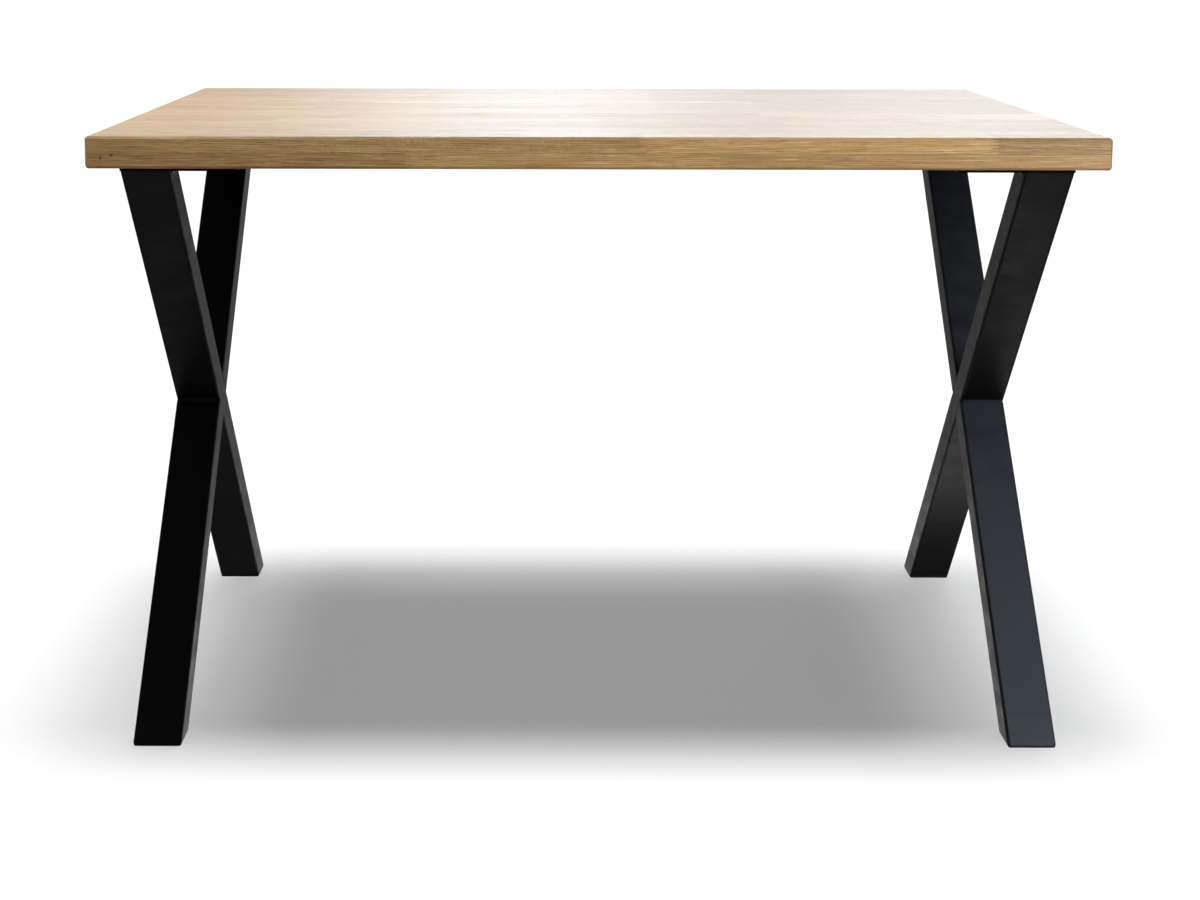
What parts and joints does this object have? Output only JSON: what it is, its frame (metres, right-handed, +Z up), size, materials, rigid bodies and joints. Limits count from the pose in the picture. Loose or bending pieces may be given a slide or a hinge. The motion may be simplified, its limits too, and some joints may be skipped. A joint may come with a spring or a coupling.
{
  "type": "sawbuck table",
  "caption": "Rectangular dining table with a finger-jointed oak top, thick at the rim, on two welded X-shaped frames of black rectangular steel tube.",
  "frame": {"origin": "on the floor, under the middle of the tabletop", "axes": "+X along the length of the table, +Y from its front to its back, +Z up"},
  "size_m": [1.2, 0.8, 0.76],
  "materials": {
    "oiled_oak": "oiled matt",
    "black_powder_coat": "fine matt powder coat",
    "black_plastic": "matt moulded",
    "black_oxide_steel": "black oxide",
    "zinc_insert": "zinc plated"
  },
  "bodies": {
    "root": {"back_edge_stave_1": "oiled_oak", "back_edge_stave_2": "oiled_oak", "front_edge_stave_1": "oiled_oak", "front_edge_stave_2": "oiled_oak", "left_crossing_welds": "black_powder_coat", "left_end_block_staves": "oiled_oak", "left_foot_glides": "black_plastic", "left_leg_end_caps": "black_powder_coat", "left_lower_half_leg": "black_powder_coat", "left_plate_bolts": "black_oxide_steel", "left_plate_washers": "black_oxide_steel", "left_plate_welds": "black_powder_coat", "left_threaded_inserts": "zinc_insert", "left_through_leg": "black_powder_coat", "left_top_plate": "black_powder_coat", "left_upper_half_leg": "black_powder_coat", "right_crossing_welds": "black_powder_coat", "right_end_block_staves": "oiled_oak", "right_foot_glides": "black_plastic", "right_leg_end_caps": "black_powder_coat", "right_lower_half_leg": "black_powder_coat", "right_plate_bolts": "black_oxide_steel", "right_plate_washers": "black_oxide_steel", "right_plate_welds": "black_powder_coat", "right_threaded_inserts": "zinc_insert", "right_through_leg": "black_powder_coat", "right_top_plate": "black_powder_coat", "right_upper_half_leg": "black_powder_coat", "top_stave_row_01": "oiled_oak", "top_stave_row_02": "oiled_oak", "top_stave_row_03": "oiled_oak", "top_stave_row_04": "oiled_oak", "top_stave_row_05": "oiled_oak", "top_stave_row_06": "oiled_oak", "top_stave_row_07": "oiled_oak", "top_stave_row_08": "oiled_oak", "top_stave_row_09": "oiled_oak", "top_stave_row_10": "oiled_oak", "top_stave_row_11": "oiled_oak", "top_stave_row_12": "oiled_oak", "top_stave_row_13": "oiled_oak", "top_stave_row_14": "oiled_oak", "top_stave_row_15": "oiled_oak", "top_stave_row_16": "oiled_oak", "top_stave_row_17": "oiled_oak", "top_stave_row_18": "oiled_oak", "top_stave_row_19": "oiled_oak"}
  },
  "joints": []
}
